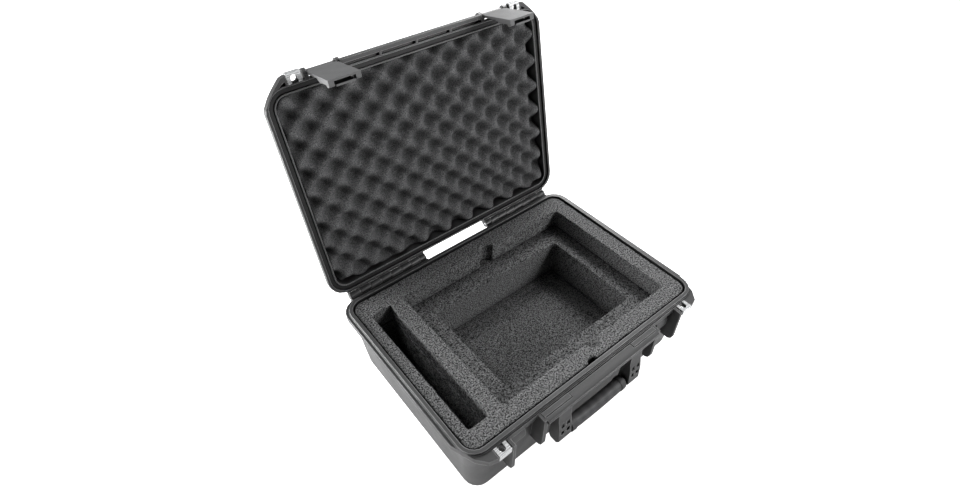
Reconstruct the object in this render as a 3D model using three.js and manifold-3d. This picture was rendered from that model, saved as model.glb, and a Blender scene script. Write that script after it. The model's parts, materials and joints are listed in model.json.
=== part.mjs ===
import * as THREE from 'three';
import { mergeVertices } from 'three/addons/utils/BufferGeometryUtils.js';
import Module from 'manifold-3d';

const wasm = await Module();
wasm.setup();

// A watertight moulded hard case for a laptop, standing open on its base.
// Millimetres, +Z up, front towards -Y, hinges at +Y, origin under the middle of the base.

// Clearances and small allowances
const gap = 0.3; // between pieces that touch
const overrun = 5; // how far a cutter passes the surface it cuts
const bite = 1; // how far a moulded rib runs into the wall that carries it

// Base moulding
const baseHeight = 138; // underside to the top of the sealing ridge
const mouthHalfX = 237.9; // inside face of the ridge
const mouthHalfY = 165.5;
const mouthRadius = 22;
const wall = 3.6;
const floorThickness = 4;
const baseDraftX = 9.8; // how far the walls draw in between flange and floor
const baseDraftY = 7.2;
const bottomEdge = 7; // rounding of the bottom edge

// Flange round both halves, and the ridge that presses into the seal
const flangeMarginX = 12.1; // from the mouth to the outer edge
const flangeMarginY = 10;
const flangeThickness = 10;
const flangeRadius = 30;
const ridgeHeight = 3.9;
const ridgeWidth = 6.1;
const ridgeSlope = 1.1;
const cornerWidth = 41; // front corner blocks: how far they run along the front
const cornerLength = 40.5; // and along the side
const baseCornerStand = 14.5; // and how far they stand in front of the flange
const lidCornerStand = 12.5;
const cornerPocketFloor = 2.5;

// Front of the base: platform over the handle, ribs beside the latches
const platformInset = 128; // end of the platform, in from the side of the flange
const platformStand = 19.5; // in front of the flange
const platformThickness = 6.4;
const platformDrop = 0.9; // below the flange top
const seamWidth = 1.3; // groove between flange and platform
const seamDepth = 2.4;
const padLength = 53; // pads on the ends of the platform, level with the flange
const padDepth = 9;
const padSetback = 10; // behind the front of the platform
const padGroove = 0.9; // round a pad's front and inner end, as wide as deep
const outerRibInset = 70.5; // inner face, in from the side of the flange
const outerRibThickness = 5;
const outerRibStand = 14.5;
const outerRibDepth = 76;
const buttressInset = 130.2; // inner face, in from the side of the flange
const buttressThickness = 7;
const buttressStand = 14.5;
const buttressDepth = 78;

// Lid moulding
const lidHeight = 61; // rim face to the top
const lidLipInset = 2.7; // inner face of the lid's lip, inside the ridge
const lidLipDrop = 1.6; // how far the lip stands below the top of the ridge
const lidDraft = 6;
const lidEdge = 10;
const lidOpenAngle = 101.95; // degrees from closed to the stop
const panelRaise = 2.2; // raised panel on the outside of the lid
const panelMargin = 38;
const railStand = 11.5; // in front of the flange
const railDepth = 7;
const railHeight = 8.4;
const railFloor = 2.4; // web behind the rail, level with its top
const railRibShares = [-0.5, 0, 0.5]; // along the rail

// Seal
const sealThickness = 3;

// Hinge
const hingeSetback = 10.2; // axis behind the flange's back edge
const hingeDrop = 4.4; // axis below the top of the ridge
const knuckleRadius = 6.5;
const hingePinRadius = 2.5;
const hingeInset = 180; // first knuckle, in from the side of the flange
const knuckleWidths = [13, 19, 20, 20.5, 21.5, 20, 21, 20]; // from the middle outwards, lid first
const knuckleGap = 0.8;
const hingeRelief = 0.9; // round the other half's barrels
const hingeShoulder = 4.55; // flat corner behind the axis where the arms meet the knuckles
const hingeArmFoot = 26; // how far the base arms run down the wall

// Latches
const latchInset = 95.5; // middle of a latch, in from the side of the flange
const latchWidth = 48;
const latchFaceStand = 9.5; // outer face, in front of the flange
const latchPivotDepth = 3.6; // pivot behind that face
const latchPivotRise = 9.4; // above the lid's rim face
const latchLength = 66;
const latchPlate = 3;
const latchLean = 1.8; // how far the plate leans in towards its free end
const latchCheekDepth = 6; // behind the plate
const latchBarrelRadius = 4.5;
const latchPinRadius = 2;
const latchBarHeight = 6.5;
const latchBarReach = 6.4;
const latchLegWidth = 8; // legs at the free end, on both sides of the trigger
const latchLegDepth = 10.4;
const latchLegHeight = 8;
const earThickness = 6.4;
const earRadius = 7.4;
const earRootRise = 11.8; // where an ear leaves the wall, above the pivot
const pinSeatShare = 0.6; // of an ear or lug that a pin's blind end runs into

// Triggers inside the latches
const triggerWidth = 28;
const triggerHubRadius = 3.2;
const triggerPinRadius = 1.5;
const triggerThickness = 2.6;
const springWireRadius = 0.45;
const springGap = 0.5;
const springTurns = 3;

// Keepers on the base
const keeperShift = 5.5; // outwards from the middle of the latch
const keeperWidth = 26;
const keeperInset = 1.1; // front face behind the front of the flange
const keeperTop = 20; // below the ridge top
const keeperBottom = 40;
const keeperTopShare = 0.4; // flat part of the top, then a slope
const keeperFrontShare = 0.45; // down to the flat part of the front

// Padlock plates
const plateInset = 63; // inner edge, in from the side of the flange
const plateWidth = 21;
const plateStand = 14.5; // how far both halves' plates stand in front of the flange
const plateDepth = 14.8;
const plateSteel = 1.6;
const plateHoleRadius = 5;
const plateHoleShare = 0.56; // of the plate's depth

// Handle
const armInset = 157; // outer face of an arm, in from the side of the flange
const armWidth = 26;
const handlePivotStand = 5.5; // in front of the flange
const handlePivotDrop = 21.4;
const handleHeadRadius = 7;
const handleLength = 105; // ridge top to the bottom of the arms
const handleStand = 19.5; // front of the arms' lower ends, in front of the flange
const handleDepth = 23;
const handleFootRound = 5;
const handlePinRadius = 2.5;
const lugThickness = 5;
const coreWidth = 13;
const coreHeight = 16;
const coreRise = 9.5; // ends of the grip's middle line above the bottom of the arms
const gripWidth = 22;
const gripHeight = 27;
const gripCollar = 2; // how far the end collars stand proud
const gripCollarLength = 9;
const gripInset = 5; // grip's ends from the arms
const gripBow = 5; // the middle of the grip hangs this much lower
const pocketWidth = 7;
const pocketHeight = 9.8;
const pocketDepth = 3.4;
const pocketColumnShares = [0.28, 0.72]; // across an arm
const pocketRowShares = [0.26, 0.42, 0.58, 0.74]; // down an arm

// Foam
const foamTopDrop = 2.5; // foam surface below the ridge top
const foamClearance = 0.8;
const upperCut = { left: 83.4, right: 33.9, front: 33, back: 39, depth: 40 }; // in from the mouth
const innerCut = { left: 40.5, right: 35.5, front: 37.5, back: 36.5 }; // in from the upper cut
const floorFoamThickness = 15;
const sideSlot = { left: 21.9, width: 35, front: 33, back: 40.5 }; // in from the mouth
const fingerRadius = 14;
const fingerPlace = 27;
const valveNotchWidth = 17;
const valveNotchDepth = 6.5;
const lidFoamRecess = 5.1; // highest foam peaks above the lid's rim face
const eggPitchX = 51.5;
const eggPitchY = 46.5;
const eggHeight = 21;
const eggSteps = 4; // facets to a pitch
const lidFoamInset = 2;

// Pressure valve
const valveDrop = 27;
const valveBodyRadius = 9;
const valveStemRadius = 5;
const valveBoreRadius = 2;
const valveHeadThickness = 4;
const valveNutRadius = 7.5;
const valveNutThickness = 3.2;
const valveSealThickness = 1.2;

// Finishes
const plastic = { color: 0x4b4c4e, roughness: 0.55, metalness: 0 };
const darkPlastic = { color: 0x3b3c3e, roughness: 0.5, metalness: 0 };
const rubber = { color: 0x1d1d1e, roughness: 0.8, metalness: 0 };
const gripRubber = { color: 0x55565a, roughness: 0.75, metalness: 0 };
const steel = { color: 0xd8dade, roughness: 0.28, metalness: 1 };
const baseFoam = { color: 0x434446, roughness: 1, metalness: 0 };
const softFoam = { color: 0x37383a, roughness: 1, metalness: 0 };

// Levels and places that follow from the sizes above
const flangeHalfX = mouthHalfX + flangeMarginX;
const flangeHalfY = mouthHalfY + flangeMarginY;
const platformHalf = flangeHalfX - platformInset;
const outerRibInner = flangeHalfX - outerRibInset;
const buttressInner = flangeHalfX - buttressInset;
const hingeStart = flangeHalfX - hingeInset;
const latchCentre = flangeHalfX - latchInset;
const plateInner = flangeHalfX - plateInset;
const armOuter = flangeHalfX - armInset;
const platformReach = flangeHalfY + platformStand;
const railReach = flangeHalfY + railStand;
const plateReach = flangeHalfY + plateStand;
const ridgeTop = baseHeight;
const flangeTop = ridgeTop - ridgeHeight;
const flangeUnder = flangeTop - flangeThickness;
const rimFace = flangeTop + gap;
const hingeY = flangeHalfY + hingeSetback;
const hingeZ = ridgeTop - hingeDrop;
const cornerSteps = 5;
const smallCircle = 14;

// Shapes

/** Points of a circle, anticlockwise. */
function circle(x, y, radius, sides = smallCircle) {
  return Array.from({ length: sides }, (_, i) => {
    const angle = (i / sides) * Math.PI * 2;
    return [x + radius * Math.cos(angle), y + radius * Math.sin(angle)];
  });
}

/** Points of an arc between two angles in degrees. */
function arc(x, y, radius, from, to, steps = cornerSteps) {
  return Array.from({ length: steps + 1 }, (_, i) => {
    const angle = THREE.MathUtils.degToRad(mix(from, to, i / steps));
    return [x + radius * Math.cos(angle), y + radius * Math.sin(angle)];
  });
}

/** Points of a rectangle, anticlockwise. */
function rectangle(left, right, front, back) {
  return [[left, front], [right, front], [right, back], [left, back]];
}

/** Points of a rectangle with round corners about the middle, anticlockwise. */
function roundedRectangle(halfX, halfY, radius, steps = cornerSteps) {
  const r = Math.min(radius, halfX, halfY);
  const points = [];
  [[1, -1, -90], [1, 1, 0], [-1, 1, 90], [-1, -1, 180]].forEach(([sideX, sideY, start]) => {
    for (let i = 0; i <= steps; i += 1) {
      const angle = THREE.MathUtils.degToRad(start + (i / steps) * 90);
      points.push([sideX * (halfX - r) + r * Math.cos(angle), sideY * (halfY - r) + r * Math.sin(angle)]);
    }
  });
  return points;
}

/** Turns a closed geometry into a solid that can be joined and cut. */
function solid(geometry) {
  const bare = geometry.index ? geometry : geometry.clone();
  bare.deleteAttribute('normal');
  bare.deleteAttribute('uv');
  const merged = mergeVertices(bare, gap / 1000);
  return new wasm.Manifold(new wasm.Mesh({
    numProp: 3,
    vertProperties: new Float32Array(merged.attributes.position.array),
    triVerts: new Uint32Array(merged.index.array),
  }));
}

// Turns a shape drawn across Z so that it lies across X: its x, y and z become y, z and x.
const alongX = new THREE.Matrix4().set(0, 0, 1, 0, 1, 0, 0, 0, 0, 1, 0, 0, 0, 0, 0, 1);

/** Straight prism across one axis: 'x' takes points (y, z), 'y' points (x, z) and 'z' points (x, y). */
function prism(axis, points, from, to) {
  const low = Math.min(from, to);
  const high = Math.max(from, to);
  const shape = new THREE.Shape(points.map(([u, v]) => new THREE.Vector2(u, v)));
  const geometry = new THREE.ExtrudeGeometry(shape, { depth: high - low, bevelEnabled: false });
  const place = {
    x: alongX.clone().setPosition(low, 0, 0),
    y: new THREE.Matrix4().set(1, 0, 0, 0, 0, 0, -1, high, 0, 1, 0, 0, 0, 0, 0, 1),
    z: new THREE.Matrix4().makeTranslation(0, 0, low),
  }[axis];
  return solid(geometry.applyMatrix4(place));
}

/** Skin through outlines with equal numbers of points, one above the other, closed at both ends. */
function loft(rings, place = new THREE.Matrix4()) {
  const count = rings[0].points.length;
  const positions = rings.flatMap(({ points, z }) => points.flatMap(([x, y]) => [x, y, z]));
  const index = [];
  for (let level = 0; level + 1 < rings.length; level += 1) {
    for (let i = 0; i < count; i += 1) {
      const a = level * count + i;
      const b = level * count + ((i + 1) % count);
      index.push(a, b, b + count, a, b + count, a + count);
    }
  }
  const top = (rings.length - 1) * count;
  const contour = rings[0].points.map(([x, y]) => new THREE.Vector2(x, y));
  THREE.ShapeUtils.triangulateShape(contour, []).forEach(([a, b, c]) => {
    index.push(c, b, a, top + a, top + b, top + c);
  });
  const geometry = new THREE.BufferGeometry();
  geometry.setAttribute('position', new THREE.Float32BufferAttribute(positions, 3));
  geometry.setIndex(index);
  return solid(geometry.applyMatrix4(place));
}

/** Stack of round-cornered rectangles: [halfX, halfY, radius, z] from the lowest up. */
function roundedStack(levels, steps = cornerSteps) {
  return loft(levels.map(([halfX, halfY, radius, z]) => ({
    points: roundedRectangle(halfX, halfY, radius, steps), z,
  })));
}

/** Quarter round as [inset, rise] pairs, from the flat face to the wall. */
function quarterRound(radius, steps = 3) {
  return Array.from({ length: steps + 1 }, (_, i) => {
    const angle = (i / steps) * (Math.PI / 2);
    return [radius * (1 - Math.sin(angle)), radius * (1 - Math.cos(angle))];
  });
}

const join = (first, ...rest) => rest.reduce((whole, piece) => whole.add(piece), first);
const cut = (first, ...rest) => rest.reduce((whole, piece) => whole.subtract(piece), first);
const box = (x0, x1, y0, y1, z0, z1) => (
  prism('z', rectangle(Math.min(x0, x1), Math.max(x0, x1), y0, y1), z0, z1)
);
const rod = (radius, x0, x1, y, z, sides) => prism('x', circle(y, z, radius, sides), x0, x1);
const mix = (a, b, share) => a + (b - a) * share;

/** Named mesh of a solid in its own colour and finish. */
function piece(name, shape, finish) {
  const { vertProperties, triVerts } = shape.getMesh();
  const geometry = new THREE.BufferGeometry();
  geometry.setAttribute('position', new THREE.Float32BufferAttribute(vertProperties, 3));
  geometry.setIndex(new THREE.Uint32BufferAttribute(triVerts, 1));
  geometry.computeVertexNormals();
  const mesh = new THREE.Mesh(geometry, new THREE.MeshStandardMaterial({ ...finish, flatShading: true }));
  mesh.name = name;
  return mesh;
}

const sides = [['left', -1], ['right', 1]];

// Outlines that base and lid share

// Front corner blocks, from the front inwards: shares of their length along the front and the side
const baseCornerShares = [[0, 1], [0.35, 0.93], [0.66, 0.66], [0.86, 0.25], [1, 0]];
const lidCornerShares = [[0, 1], [0.18, 0.96], [0.53, 0.72], [0.73, 0.56], [0.94, 0.34], [1, 0.2]];
// Pocket behind the slope of a lid corner
const cornerPocketShares = [[0.06, 0.86], [0.14, 0.835], [0.305, 0.747], [0.06, 0.757]];

/** Flange outline with round back corners and the blocks that stand forward at the front corners. */
function flangeOutline(stand, cornerShares) {
  const half = [[flangeHalfX - cornerWidth, -flangeHalfY]];
  cornerShares.forEach(([along, forward]) => {
    half.push([
      mix(flangeHalfX - cornerWidth, flangeHalfX, along),
      -mix(flangeHalfY - cornerLength, flangeHalfY + stand, forward),
    ]);
  });
  for (let i = 0; i <= cornerSteps; i += 1) {
    const angle = (i / cornerSteps) * (Math.PI / 2);
    half.push([
      flangeHalfX - flangeRadius * (1 - Math.cos(angle)),
      flangeHalfY - flangeRadius * (1 - Math.sin(angle)),
    ]);
  }
  return [...half, ...half.map(([x, y]) => [-x, y]).reverse()];
}

// Base shell

/** Half sizes of the base's cavity at a height: straight at the rim, drawn in towards the floor. */
function cavityHalf(z) {
  const share = THREE.MathUtils.clamp((flangeUnder - z) / (flangeUnder - floorThickness), 0, 1);
  return [mouthHalfX - baseDraftX * share, mouthHalfY - baseDraftY * share];
}

/** Front face of the base wall at a height, as a distance in front of the middle. */
const wallFront = (z) => cavityHalf(z)[1] + wall;

function baseBody() {
  const outerHalf = (z) => cavityHalf(z).map((half) => half + wall);
  const [floorHalfX, floorHalfY] = outerHalf(0);
  const rounding = quarterRound(bottomEdge).map(([inset, rise]) => (
    [floorHalfX - inset, floorHalfY - inset, mouthRadius + wall - inset / 2, rise]
  ));
  const [topHalfX, topHalfY] = outerHalf(flangeUnder);
  return roundedStack([
    ...rounding,
    [topHalfX, topHalfY, mouthRadius + wall, flangeUnder],
    [topHalfX, topHalfY, mouthRadius + wall, flangeTop],
  ]);
}

function baseCavity() {
  const [lowX, lowY] = cavityHalf(floorThickness);
  return roundedStack([
    [lowX, lowY, mouthRadius, floorThickness],
    [mouthHalfX, mouthHalfY, mouthRadius, flangeUnder],
    [mouthHalfX, mouthHalfY, mouthRadius, ridgeTop + overrun],
  ]);
}

function ridge() {
  const outer = ridgeWidth + ridgeSlope;
  return roundedStack([
    [mouthHalfX + outer, mouthHalfY + outer, mouthRadius + outer, flangeUnder],
    [mouthHalfX + outer, mouthHalfY + outer, mouthRadius + outer, flangeTop],
    [mouthHalfX + ridgeWidth, mouthHalfY + ridgeWidth, mouthRadius + ridgeWidth, ridgeTop],
  ]);
}

// Lower end of a front rib: shares of its stand off the wall, and of that stand upwards from the foot
const ribFootShares = [[1, 0.42], [0.9, 0.16], [0.68, 0]];

/** Upright rib in front of the base wall, rounded back to the wall at its lower end. */
function frontRib(side, inner, thickness, stand, depth) {
  const foot = ridgeTop - depth;
  const head = flangeTop - platformDrop;
  const reach = flangeHalfY + stand;
  const rootY = wallFront(foot);
  const profile = [
    [-mouthHalfY - bite, head],
    [-reach, head],
    ...ribFootShares.map(([out, rise]) => [-mix(rootY, reach, out), foot + (reach - rootY) * rise]),
    [-rootY + bite, foot],
  ];
  return prism('x', profile, side * inner, side * (inner + thickness));
}

/** Shelf over the handle with a half-round front edge. */
function platform() {
  const top = flangeTop - platformDrop;
  const under = top - platformThickness;
  const nose = platformThickness / 2;
  const lip = arc(-platformReach + nose, top - nose, nose, 90, 270);
  const profile = [[-mouthHalfY - bite, top], ...lip, [-mouthHalfY - bite, under]];
  const padFront = -platformReach + padSetback;
  const padFoot = top - padGroove;
  const padEnd = platformHalf - padLength;
  const seam = box(
    -platformHalf - overrun, platformHalf + overrun, -flangeHalfY - seamWidth, -flangeHalfY,
    flangeTop - seamDepth, flangeTop + overrun,
  );
  const grooves = sides.map(([, side]) => box(
    side * (padEnd - padGroove), side * (platformHalf + overrun),
    padFront - padGroove, padFront + padDepth, padFoot, flangeTop + overrun,
  ));
  const pads = sides.map(([, side]) => box(
    side * padEnd, side * platformHalf, padFront, padFront + padDepth - padGroove, padFoot - bite, flangeTop,
  ));
  return join(cut(prism('x', profile, -platformHalf, platformHalf), seam, ...grooves), ...pads);
}

/** Tongue at a front corner that a padlock plate wraps, between the given levels. */
function lockTongue(side, low, high) {
  const skin = plateSteel + gap;
  const centre = side * (plateInner + plateWidth / 2);
  return box(
    centre - plateWidth / 2, centre + plateWidth / 2,
    -plateReach + skin, -plateReach + plateDepth + bite, low + skin, high - skin,
  );
}

/** Room for a padlock plate in the moulding that carries it. */
function lockSeat(side, low, high) {
  const centre = side * (plateInner + plateWidth / 2);
  return box(
    centre - plateWidth / 2 - gap, centre + plateWidth / 2 + gap,
    -plateReach - overrun, -plateReach + plateDepth + gap, low - gap, high + gap,
  );
}

/** Upright hole for the padlock through both halves' tongues and plates. */
function lockHole(side) {
  const x = side * (plateInner + plateWidth / 2);
  return prism(
    'z', circle(x, -plateReach + plateDepth * plateHoleShare, plateHoleRadius),
    flangeUnder - overrun, rimFace + flangeThickness + overrun,
  );
}

/** Places along the hinge where a knuckle starts and ends, from the middle outwards. */
function knuckles(firstIndex) {
  let start = hingeStart;
  const spans = knuckleWidths.map((width) => {
    const span = [start + knuckleGap / 2, start + width - knuckleGap / 2];
    start += width;
    return span;
  });
  return spans.filter((_, i) => i % 2 === firstIndex);
}

const hingeEnd = knuckleWidths.reduce((sum, width) => sum + width, hingeStart);

/** Hinge of one moulding: barrels on arms of the given (y, z) outline, and webs up to the other barrels. */
function hingeBarrels(firstIndex, arm, low, high) {
  const webEnd = hingeY - knuckleRadius - hingeRelief;
  return sides.flatMap(([, side]) => [
    ...knuckles(firstIndex).flatMap(([from, to]) => [
      prism('x', circle(hingeY, hingeZ, knuckleRadius), side * from, side * to),
      prism('x', arm, side * from, side * to),
    ]),
    ...knuckles(1 - firstIndex).map(([from, to]) => (
      box(side * (from - knuckleGap), side * (to + knuckleGap), flangeHalfY - bite, webEnd, low, high)
    )),
  ]);
}

// The pins stop inside the last knuckle
const hingePinEnd = hingeEnd - knuckleWidths.at(-1) / 4;
const hingeBore = (side) => rod(
  hingePinRadius + gap, side * (hingeStart - overrun), side * hingePinEnd, hingeY, hingeZ,
);

const armInner = armOuter - armWidth;
const handlePinInner = armInner - lugThickness; // from the inner lug's inner face
const handlePinOuter = armOuter + lugThickness * pinSeatShare; // to a blind end in the outer lug
const handlePivotReach = flangeHalfY + handlePivotStand;
const handlePinZ = ridgeTop - handlePivotDrop;

/** Lugs under the platform that carry the ends of the handle's pins. */
function handleLugs(side) {
  const front = -handlePivotReach - handleHeadRadius;
  const lug = [
    [-mouthHalfY - bite, flangeUnder + bite],
    [front, flangeUnder + bite],
    [front, handlePinZ],
    [-handlePivotReach, handlePinZ - handleHeadRadius],
    [-wallFront(handlePinZ) + bite, handlePinZ - handleHeadRadius * 2],
  ];
  return [[armOuter + gap * 2, 1], [armInner - gap * 2, -1]].map(([start, way]) => (
    prism('x', lug, side * start, side * (start + way * lugThickness))
  ));
}

/** Keeper under the rim that a latch hooks. */
function keeper(side) {
  const low = ridgeTop - keeperBottom;
  const high = ridgeTop - keeperTop;
  const root = wallFront(low);
  const reach = flangeHalfY - keeperInset;
  const profile = [
    [-root + bite, high],
    [-mix(root, reach, keeperTopShare), high],
    [-reach, mix(high, low, keeperFrontShare)],
    [-reach, low],
    [-root + bite, low],
  ];
  const centre = side * (latchCentre + keeperShift);
  return prism('x', profile, centre - keeperWidth / 2, centre + keeperWidth / 2);
}

const valveZ = ridgeTop - valveDrop;

function baseShell() {
  const arm = [
    [mouthHalfY + bite, flangeTop],
    [hingeY, flangeTop - gap],
    [hingeY, hingeZ - knuckleRadius + gap],
    [mouthHalfY + wall, flangeUnder - hingeArmFoot],
    [cavityHalf(flangeUnder - hingeArmFoot)[1] + wall - bite, flangeUnder - hingeArmFoot],
  ];
  const solids = [
    prism('z', flangeOutline(baseCornerStand, baseCornerShares), flangeUnder, flangeTop),
    ridge(),
    platform(),
    ...hingeBarrels(1, arm, flangeUnder, flangeTop),
  ];
  sides.forEach(([, side]) => {
    solids.push(
      frontRib(side, outerRibInner, outerRibThickness, outerRibStand, outerRibDepth),
      frontRib(side, buttressInner, buttressThickness, buttressStand, buttressDepth),
      keeper(side),
      ...handleLugs(side),
    );
  });
  const cuts = [
    baseCavity(),
    prism(
      'y', circle(0, valveZ, valveStemRadius + gap), -mouthHalfY - wall - overrun, -mouthHalfY + overrun,
    ),
  ];
  sides.forEach(([, side]) => {
    cuts.push(hingeBore(side), lockSeat(side, flangeUnder, flangeTop));
    cuts.push(rod(
      handlePinRadius + gap, side * (handlePinInner - bite), side * (handlePinOuter + gap),
      -handlePivotReach, handlePinZ,
    ));
  });
  const tongues = sides.map(([, side]) => cut(lockTongue(side, flangeUnder, flangeTop), lockHole(side)));
  return join(cut(join(baseBody(), ...solids), ...cuts), ...tongues);
}

// Lid, drawn closed on the base

const lidTop = rimFace + lidHeight;
const lidFlangeTop = rimFace + flangeThickness;
const lipHalfX = mouthHalfX - lidLipInset;
const lipHalfY = mouthHalfY - lidLipInset;
const lipOuter = gap * 2; // the lip clears the inside of the ridge as the lid swings
const lidWallX = lipHalfX + wall;
const lidWallY = lipHalfY + wall;
const lidRadius = mouthRadius + wall - lidLipInset;
const sealUnder = ridgeTop + gap;
const grooveTop = sealUnder + sealThickness + gap;
const grooveOuter = ridgeWidth + ridgeSlope + gap;

function lidBody() {
  const level = (inset, z) => [lidWallX - inset, lidWallY - inset, lidRadius - inset / 2, z];
  const rounding = quarterRound(lidEdge).reverse().map(([inset, rise]) => (
    level(lidDraft + inset, lidTop - rise)
  ));
  const panelHalf = lidWallX - panelMargin;
  const panelHalfY = lidWallY - panelMargin;
  return join(
    roundedStack([level(0, lidFlangeTop - bite), ...rounding]),
    roundedStack([
      [panelHalf, panelHalfY, lidRadius, lidTop - bite],
      [panelHalf - panelRaise, panelHalfY - panelRaise, lidRadius - panelRaise, lidTop + panelRaise],
    ]),
  );
}

function lidCavity() {
  return roundedStack([
    [lipHalfX, lipHalfY, mouthRadius - lidLipInset, rimFace - overrun],
    [lipHalfX, lipHalfY, mouthRadius - lidLipInset, lidFlangeTop],
    [lipHalfX - lidDraft, lipHalfY - lidDraft, mouthRadius - lidLipInset - lidDraft / 2, lidTop - wall],
  ]);
}

/** Flat ring that lies in the lid's groove and meets the ridge. */
function lidSeal() {
  const ring = (offset, z) => [mouthHalfX + offset, mouthHalfY + offset, mouthRadius + offset, z];
  const inner = gap * 2;
  const outer = ridgeWidth + ridgeSlope - gap;
  const top = sealUnder + sealThickness;
  return cut(
    roundedStack([ring(outer, sealUnder), ring(outer, top)]),
    roundedStack([ring(inner, sealUnder - overrun), ring(inner, top + overrun)]),
  );
}

const latchFaceReach = flangeHalfY + latchFaceStand;
const latchPivotReach = latchFaceReach - latchPivotDepth;
const latchPivotZ = rimFace + latchPivotRise;
const latchPinHalf = latchWidth / 2 + earThickness * pinSeatShare;

/** Ears on the lid's wall that carry the ends of a latch's pin. */
function latchEars(side) {
  const profile = [
    [-mouthHalfY - bite, rimFace],
    [-latchPivotReach, rimFace],
    ...arc(-latchPivotReach, latchPivotZ, earRadius, 240, 80),
    [-lidWallY + bite, latchPivotZ + earRootRise],
  ];
  const half = latchWidth / 2 - latchPlate / 2;
  return [-1, 1].map((end) => prism(
    'x', profile, side * latchCentre + end * half, side * latchCentre + end * (half + earThickness),
  ));
}

// Section of the rail: shares of its depth behind the front and of its height
const railShares = [[0, 0.15], [0.15, 0], [1, 0], [1, 1], [0.3, 1], [0, 0.8]];

/** Rail along the lid's front between the latches, on short ribs. */
function frontRail() {
  const half = latchCentre - latchWidth / 2 - earThickness / 2;
  const top = rimFace + railHeight;
  const section = railShares.map(([back, up]) => [-railReach + railDepth * back, mix(rimFace, top, up)]);
  const ribs = railRibShares.map((share) => {
    const x = share * half;
    return box(x - wall / 2, x + wall / 2, -railReach + bite, -flangeHalfY + bite, rimFace, top);
  });
  const web = box(-half, half, -railReach + railDepth - bite, -flangeHalfY + bite, top - railFloor, top);
  return join(prism('x', section, -half, half), web, ...ribs);
}

/** Pocket in the front of the lid's corner block, open towards the rim. */
function cornerPocket(side) {
  const outline = cornerPocketShares.map(([along, forward]) => [
    side * mix(flangeHalfX - cornerWidth, flangeHalfX, along),
    -mix(flangeHalfY - cornerLength, flangeHalfY + lidCornerStand, forward),
  ]);
  return prism('z', outline, rimFace - overrun, lidFlangeTop - cornerPocketFloor);
}

function lidShell() {
  const arm = [
    [lidWallY - bite, rimFace + gap * 2],
    [hingeY, rimFace + gap * 2],
    [hingeY + hingeShoulder, hingeZ + hingeShoulder],
    [flangeHalfY, lidFlangeTop + knuckleRadius],
    [lidWallY - bite, lidFlangeTop + knuckleRadius],
  ];
  const solids = [
    prism('z', flangeOutline(lidCornerStand, lidCornerShares), rimFace, lidFlangeTop),
    frontRail(),
    ...hingeBarrels(0, arm, rimFace, lidFlangeTop),
  ];
  sides.forEach(([, side]) => {
    solids.push(...latchEars(side));
  });
  const lip = roundedStack([
    [mouthHalfX - lipOuter, mouthHalfY - lipOuter, mouthRadius - lipOuter, ridgeTop - lidLipDrop],
    [mouthHalfX - lipOuter, mouthHalfY - lipOuter, mouthRadius - lipOuter, lidFlangeTop],
  ]);
  const grooveInner = [mouthHalfX - lipOuter, mouthHalfY - lipOuter, mouthRadius - lipOuter];
  const groove = cut(
    roundedStack([
      [mouthHalfX + grooveOuter, mouthHalfY + grooveOuter, mouthRadius + grooveOuter, rimFace - overrun],
      [mouthHalfX + grooveOuter, mouthHalfY + grooveOuter, mouthRadius + grooveOuter, grooveTop],
    ]),
    roundedStack([[...grooveInner, rimFace - overrun * 2], [...grooveInner, lidTop]]),
  );
  const cuts = [
    lidCavity(),
    groove,
    roundedStack([[...grooveInner, rimFace - overrun], [...grooveInner, ridgeTop - lidLipDrop]]),
  ];
  sides.forEach(([, side]) => {
    cuts.push(hingeBore(side), lockSeat(side, rimFace, lidFlangeTop), cornerPocket(side));
    const pinCentre = side * latchCentre;
    cuts.push(rod(
      latchPinRadius + gap, pinCentre - latchPinHalf - gap, pinCentre + latchPinHalf + gap,
      -latchPivotReach, latchPivotZ,
    ));
  });
  const tongues = sides.map(([, side]) => cut(lockTongue(side, rimFace, lidFlangeTop), lockHole(side)));
  return join(cut(join(lidBody(), ...solids, lip), ...cuts), ...tongues);
}

// Latches, drawn hanging square to the closed lid's rim

const latchTopZ = rimFace - gap * 4;
const latchEndZ = latchTopZ - latchLength;
const latchInnerFace = latchFaceReach - latchPlate;
const barTop = ridgeTop - keeperBottom - gap * 5;
const triggerPivotZ = barTop - latchBarHeight - triggerHubRadius - gap * 2;
const latchEndReach = latchFaceReach - latchLean;
const triggerPivotReach = latchEndReach - latchPlate - triggerHubRadius - gap;

// Inner edge of a latch's cheeks: shares of the latch's length and of the cheeks' depth
const cheekShares = [[0, 0.2], [0.44, 0.2], [0.56, 1], [1, 1]];
// Section of a latch's legs: shares of their depth and of their height above the free end
const legShares = [[0, 0], [0.8, 0], [1, 0.35], [1, 0.8], [0.8, 1], [0, 1]];

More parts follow.
